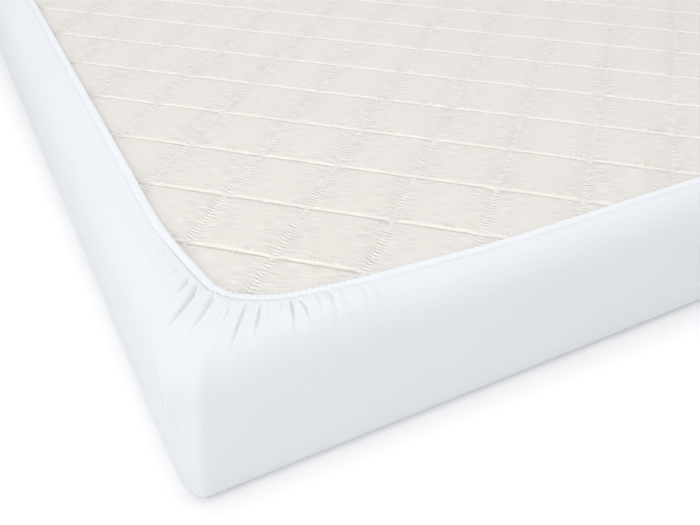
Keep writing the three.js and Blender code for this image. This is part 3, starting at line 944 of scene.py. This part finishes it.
def binding_material():
    """Ribbed white elastic: fine ribs across the band."""
    graph = Graph("elastic", roughness=0.85, sheen=0.2)
    along, girth, _ = graph.parts(graph.own_uv())
    ribs = graph.ribs(along, RIB_PITCH)
    lengthwise = graph.ribs(girth, LENGTHWISE_PITCH)
    mottle = graph.noise(graph.place(), ELASTIC_MOTTLE_SCALE)
    height = (ribs * RIB_RELIEF + lengthwise * LENGTHWISE_RELIEF
              + mottle * ELASTIC_MOTTLE_RELIEF)
    return graph.dress(graph.tint(*ELASTIC_TINTS, mottle + NOISE_MIDDLE), height)


TWIST_SCALE, TWIST_RELIEF = 900.0, 0.0001
THREAD_TINTS = (0.84, 0.86, 0.90), (0.90, 0.92, 0.94)


def thread_material():
    """White sewing thread with a slight gloss and a twist."""
    graph = Graph("thread", roughness=0.6, sheen=0.1, specular=0.4)
    twist = graph.noise(graph.place(), TWIST_SCALE, 1.0)
    return graph.dress(graph.tint(*THREAD_TINTS, twist + NOISE_MIDDLE), twist * TWIST_RELIEF)


# Ripples of the ticking: the way that they run, their length and width, how far they bend, how
# strong they are beside a soft line and elsewhere, and how weak in a calm patch.
RIPPLE_TURN = math.radians(-40)
RIPPLE_LENGTH, RIPPLE_WIDTH = 0.020, 0.0021
RIPPLE_BEND, BEND_SCALE = 0.006, 14.0
RIPPLE_BESIDE_SOFT, RIPPLE_ELSEWHERE, BESIDE_SOFT = 0.9, 0.55, 0.030
RIPPLE_CALM, CALM_SCALE = 0.4, 9.0

# Strokes across the soft lines: their pitch, slant and wandering; the middle of their waves; the
# band that they fill, which is a little to one side of the line, uneven, and clear of crisp lines;
# and how their strength varies.
STROKE_PITCH, STROKE_SLANT = 0.0058, 0.35
WANDER, WANDER_SCALE = 8, 45.0
STROKE_MIDDLE = 0.25
STROKE_BAND, STROKE_ASIDE, STROKE_BAND_WANDER = 0.0068, 0.001, 0.0005
STROKE_CLEARANCE = 0.0070
STROKE_VARIES, STROKE_MEAN, STROKE_SCALE = 1.6, 0.9, 28.0

# Ticks beside the crisp lines: width, length and slant, which layer of the noise they are, the band
# on both sides that they fill, and the noise that keeps them to patches.
TICK_WIDTH, TICK_LENGTH, TICK_SLANT, TICK_LAYER = 0.0019, 0.012, 0.28, 5.0
TICK_OFF_LINE, TICK_BAND = 0.0075, 0.0045
TICK_PATCH_SCALE, TICK_PATCH_FROM, TICK_PATCH_TO = 16.0, -0.06, 0.12

# The crisp lines' thread with a painted highlight on its side, and the groove's painted shadow:
# how far off the line each is, half its width, and half the gap that is left at a soft line.
LINE_ASIDE, THREAD_AND_HIGHLIGHT_HALF_WIDTH, GROOVE_SHADOW_HALF_WIDTH = 0.0026, 0.0020, 0.0019
LINE_GAP = 0.0050
WEAVE_SCALE, TICKING_MOTTLE_SCALE = 700.0, 5.0

# What each does to the relief, in metres, and to the shade, from 0 to 1.
RIPPLE_RELIEF, STROKE_RELIEF, TICK_RELIEF = 0.0012, 0.0005, 0.0018
THREAD_RELIEF, WEAVE_RELIEF = 0.0003, 0.00006
TICKING_SHADE, MOTTLE_SHADE = 0.56, 0.08
# Ripples and ticks are painted lighter where they stand up, and strokes darker in their valleys:
# painted shade that follows the relief.
RIPPLE_PAINTED_SHADE, STROKE_PAINTED_SHADE, TICK_PAINTED_SHADE = 0.85, 0.85, 0.9
# One side of each crisp line is painted lighter, thread and a painted highlight, and the other
# darker, the groove's painted shadow.
THREAD_AND_HIGHLIGHT_SHADE, GROOVE_PAINTED_SHADOW = 0.36, 0.85
# The soft lines' band and middle are painted lighter: painted light that balances the strokes'
# painted shade.
SOFT_BAND, SOFT_BAND_PAINTED_LIGHT = 0.0065, 0.05
SOFT_LINE, SOFT_LINE_PAINTED_LIGHT = 0.0020, 0.08
TICKING_TINTS = (0.500, 0.482, 0.452), (0.850, 0.823, 0.783)


def tick_patches(graph, place):
    """Where small ticks show: patches from 0 to 1, from a slow noise with its contrast raised."""
    node = graph.add("MapRange", {"interpolation_type": "SMOOTHSTEP"}, {
        "Value": graph.noise(place, TICK_PATCH_SCALE, 1.0),
        "From Min": TICK_PATCH_FROM, "From Max": TICK_PATCH_TO,
    })
    return Value(graph, node.outputs["Result"])


def ticking_material():
    """Cream ticking. Across each stitched line it puckers, and between the lines it lies in long
    fine ripples, all a little uneven. Its colour has painted shade that follows this relief, and a
    painted highlight and shadow along the stitched lines."""
    graph = Graph("ticking", roughness=0.9, sheen=0.1)
    place = graph.place()
    x, y, _ = graph.parts(place)
    x, y = x - float(DIAMOND_CROSSING[0]), y - float(DIAMOND_CROSSING[1])
    u, v = diamond_place(x, y)
    off_crisp = (u - graph.math("ROUND", u)) * DIAMOND_WIDTH
    off_soft = (v - graph.math("ROUND", v)) * DIAMOND_WIDTH

    ahead, aside = turned(x, y, RIPPLE_TURN)
    bend = graph.noise(place, BEND_SCALE, 1.0) * RIPPLE_BEND
    stretched = graph.vector(ahead / RIPPLE_LENGTH, (aside + bend) / RIPPLE_WIDTH)
    ripples = graph.noise(stretched, 1.0, 1.0)
    near_soft = graph.falloff(off_soft, BESIDE_SOFT)
    patchy = graph.noise(place, CALM_SCALE, 1.0) + NOISE_MIDDLE
    rippled = (ripples * (near_soft * RIPPLE_BESIDE_SOFT + RIPPLE_ELSEWHERE)
               * (patchy + RIPPLE_CALM))

    # Each stroke is a narrow valley of a sine along the soft line, made narrow by its cube.
    wander = graph.noise(place, WANDER_SCALE, 1.0) * WANDER
    along_soft = u * DIAMOND_WIDTH + off_soft * STROKE_SLANT
    stroke = 0.5 - graph.ribs(along_soft, STROKE_PITCH, wander) * 0.5
    stroke = stroke * stroke * stroke - STROKE_MIDDLE
    clear = 1 - graph.falloff(off_crisp, STROKE_CLEARANCE)
    stroke_band = graph.falloff(off_soft - STROKE_ASIDE + wander * STROKE_BAND_WANDER,
                                STROKE_BAND) * clear
    strokes = (stroke * stroke_band
               * (graph.noise(place, STROKE_SCALE, 1.0) * STROKE_VARIES + STROKE_MEAN))

    along_crisp = v * DIAMOND_WIDTH + off_crisp * TICK_SLANT
    stretched = graph.vector(along_crisp / TICK_WIDTH, off_crisp / TICK_LENGTH, TICK_LAYER)
    ticks = graph.noise(stretched, 1.0, 1.0)
    tick_band = graph.falloff(graph.math("ABSOLUTE", off_crisp) - TICK_OFF_LINE, TICK_BAND)
    ticked = ticks * tick_band * tick_patches(graph, place)

    # One side of each crisp line is painted whiter, thread and a painted highlight, and the other
    # side darker, the groove's painted shadow.
    unfilled = 1 - graph.falloff(off_soft, LINE_GAP)
    thread = graph.falloff(off_crisp - LINE_ASIDE, THREAD_AND_HIGHLIGHT_HALF_WIDTH) * unfilled
    painted_groove_shadow = graph.falloff(off_crisp + LINE_ASIDE, GROOVE_SHADOW_HALF_WIDTH) * unfilled
    weave = graph.noise(place, WEAVE_SCALE, 1.0)
    mottle = graph.noise(place, TICKING_MOTTLE_SCALE, 3.0)

    height = (rippled * RIPPLE_RELIEF - strokes * STROKE_RELIEF + ticked * TICK_RELIEF
              + thread * THREAD_RELIEF + weave * WEAVE_RELIEF)
    # The colour paints the relief's shading: ripples, ticks and strokes, the crisp lines' highlight
    # and groove shadow, and the soft lines' lighter middle.
    shade = (TICKING_SHADE + mottle * MOTTLE_SHADE + rippled * RIPPLE_PAINTED_SHADE
             + ticked * TICK_PAINTED_SHADE + thread * THREAD_AND_HIGHLIGHT_SHADE - painted_groove_shadow * GROOVE_PAINTED_SHADOW
             - strokes * STROKE_PAINTED_SHADE + graph.falloff(off_soft, SOFT_BAND) * SOFT_BAND_PAINTED_LIGHT
             + graph.falloff(off_soft, SOFT_LINE) * SOFT_LINE_PAINTED_LIGHT)
    return graph.dress(graph.tint(*TICKING_TINTS, shade), height)


FLOOR_TINT = (0.97, 0.97, 0.97, 1.0)


def floor_material():
    graph = Graph("floor", roughness=1.0, sheen=0.0, specular=0.0)
    graph.set(graph.shader, {"Base Color": FLOOR_TINT})
    return graph.material


# ------------------------------------------------------------------ studio

FLOOR_HALF = 20.0


def make_floor():
    """A plain square, with its corners in the order that the part's own have."""
    points = at_height(CORNERS[:, :2] * FLOOR_HALF, 0)
    floor = mesh_of("floor", points, np.array([(0, 1, 2, 3)]), flat=True)
    floor.data.materials.append(floor_material())


def make_camera():
    """A camera turned by yaw from +X, pitched down and rolled a little."""
    ahead = Vector((math.cos(CAMERA_YAW) * math.cos(CAMERA_PITCH),
                    math.sin(CAMERA_YAW) * math.cos(CAMERA_PITCH), -math.sin(CAMERA_PITCH)))
    right = Vector((math.sin(CAMERA_YAW), -math.cos(CAMERA_YAW), 0))
    up = right.cross(ahead)
    c, s = math.cos(CAMERA_ROLL), math.sin(CAMERA_ROLL)
    facing = Matrix((c * right + s * up, c * up - s * right, -ahead)).transposed()
    camera = bpy.data.objects.new("camera", bpy.data.cameras.new("camera"))
    camera.data.lens = CAMERA_LENS
    camera.data.sensor_width = CAMERA_SENSOR
    camera.data.clip_start, camera.data.clip_end = CAMERA_CLIP
    camera.matrix_world = Matrix.Translation(CAMERA_PLACE) @ facing.to_4x4()
    bpy.context.scene.collection.objects.link(camera)
    bpy.context.scene.camera = camera


# The sky's strength, and how it grows towards one side. Each lamp has its place, size and power.
SKY_BASE = 0.700
SKY_TOWARDS = Vector((0.184, 0.200, 0.053))
SKY_WHITE = (1, 1, 1, 1)
SOFTBOX_AIM = Vector((0, 0, 0.1))
SOFTBOXES = {
    "corner_lamp": (Vector((-5.6, -4.4, 3.2)), 3.0, 141.0),
    "near_lamp": (Vector((-1.3, -1.7, 2.0)), 1.2, 5.8),
    "top_lamp": (Vector((-0.3, -0.3, 3.2)), 2.0, 28.0),
}


def make_light():
    """A white sky, a little brighter towards one side, and wide soft lamps from the near corner and
    from above."""
    world = bpy.data.worlds.new("sky")
    bpy.context.scene.world = world
    world.use_nodes = True
    tree = world.node_tree
    coordinates = tree.nodes.new("ShaderNodeTexCoord")
    dot = tree.nodes.new("ShaderNodeVectorMath")
    dot.operation = "DOT_PRODUCT"
    dot.inputs[1].default_value = SKY_TOWARDS
    tree.links.new(coordinates.outputs["Generated"], dot.inputs[0])
    total = tree.nodes.new("ShaderNodeMath")
    total.operation = "ADD"
    total.inputs[1].default_value = SKY_BASE
    tree.links.new(dot.outputs["Value"], total.inputs[0])
    tree.links.new(total.outputs["Value"], tree.nodes["Background"].inputs["Strength"])
    tree.nodes["Background"].inputs["Color"].default_value = SKY_WHITE

    for name, (place, size, power) in SOFTBOXES.items():
        lamp = bpy.data.objects.new(name, bpy.data.lights.new(name, "AREA"))
        lamp.data.size = size
        lamp.data.energy = power
        turn = (place - SOFTBOX_AIM).to_track_quat("Z", "Y").to_matrix().to_4x4()
        lamp.matrix_world = Matrix.Translation(place) @ turn
        bpy.context.scene.collection.objects.link(lamp)
    bpy.context.scene.view_settings.view_transform = "Standard"


# ------------------------------------------------------------------ the part

def main():
    make_camera()
    mattress = make_mattress()
    finish_piece(mattress, ticking_material(), "quilted_ticking", "mattress")
    sheet = make_sheet()
    finish_piece(sheet, jersey_material(), "jersey_cloth", "fitted_sheet")
    binding = make_binding()
    finish_piece(binding, binding_material(), "binding_cloth", "elastic_binding")
    stitches = make_stitches()
    finish_piece(stitches, thread_material(), "binding_cloth")
    make_floor()
    make_light()


main()
